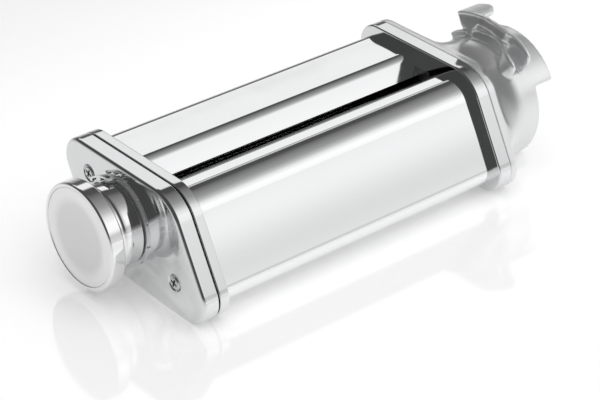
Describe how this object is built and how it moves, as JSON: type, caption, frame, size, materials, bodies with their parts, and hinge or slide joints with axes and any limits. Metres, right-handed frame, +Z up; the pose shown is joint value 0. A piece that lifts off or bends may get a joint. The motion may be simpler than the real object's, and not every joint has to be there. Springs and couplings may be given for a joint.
{
  "type": "pasta roller attachment",
  "caption": "Mixer-driven pasta sheet roller: slanted end plates, sheet-metal hopper, geared smooth rollers, cam-set thickness knob and a cast bayonet drive coupling.",
  "frame": {"origin": "centre of the coupling ring's rim, on the drive axis", "axes": "+X along the drive axis, out of the coupling's mouth; +Y towards the back, where the adjustable roller moves; +Z up"},
  "size_m": [0.2223, 0.0926, 0.0691],
  "materials": {
    "polished_cast": "mirror-polished die-cast end plate",
    "satin_cast": "satin die casting",
    "polished_sheet": "mirror-polished stainless sheet",
    "steel": "plain machined steel",
    "spring_steel": "bright spring steel",
    "bronze": "plain bearing bronze",
    "roller_chrome": "ground and polished roller",
    "knob_chrome": "polished metal knob",
    "satin_disc": "satin disc"
  },
  "bodies": {
    "frame": {"near_cover": "polished_cast", "near_plate": "polished_cast", "far_plate": "polished_cast", "coupling_housing": "satin_cast", "front_shell": "polished_sheet", "rear_shell": "polished_sheet", "front_chute": "polished_sheet", "front_scraper": "steel", "rear_scraper": "steel", "tie_bars": "steel", "cover_screws": "steel", "housing_screws": "steel", "index_ring": "satin_cast", "index_detent": "spring_steel", "stem_bush": "bronze", "drive_bushes": "bronze"},
    "driven_roller": {"drive_roller": "roller_chrome", "drive_gear": "steel", "drive_dog": "steel", "dog_screw": "steel"},
    "carriage": {"near_carriage": "steel", "far_carriage": "steel", "follower_pins": "steel"},
    "adjustable_roller": {"adjust_roller": "roller_chrome", "adjust_hub": "steel", "adjust_gear": "steel"},
    "setting_shaft": {"setting_spindle": "steel", "near_cam": "steel", "far_cam": "steel", "knob_screw": "steel", "knob_spring": "spring_steel"},
    "knob": {"knob": "knob_chrome", "knob_face": "satin_disc"}
  },
  "joints": [
    {"name": "drive_spin", "type": "hinge", "parent": "frame", "child": "driven_roller", "pos_m": [-0.1, 0, 0], "axis": [1, 0, 0], "continuous": true},
    {"name": "adjust_slide", "type": "slide", "parent": "frame", "child": "carriage", "axis": [0, 1, 0], "range_m": [0, 0.0023]},
    {"name": "adjust_spin", "type": "hinge", "parent": "carriage", "child": "adjustable_roller", "pos_m": [-0.1, 0.0204, -0.002], "axis": [1, 0, 0], "continuous": true},
    {"name": "setting_turn", "type": "hinge", "parent": "frame", "child": "setting_shaft", "pos_m": [-0.2, 0.0204, -0.002], "axis": [1, 0, 0], "range_deg": [0, 240]},
    {"name": "knob_pull", "type": "slide", "parent": "setting_shaft", "child": "knob", "axis": [-1, 0, 0], "range_m": [0, 0.003], "stiffness_N_per_m": 800, "springref_m": -0.003}
  ],
  "couplings": [
    {"joint": "adjust_spin", "follows": "drive_spin", "ratio": -1},
    {"joint": "adjust_slide", "follows": "setting_turn", "m_per_rad": 0.00054908}
  ]
}
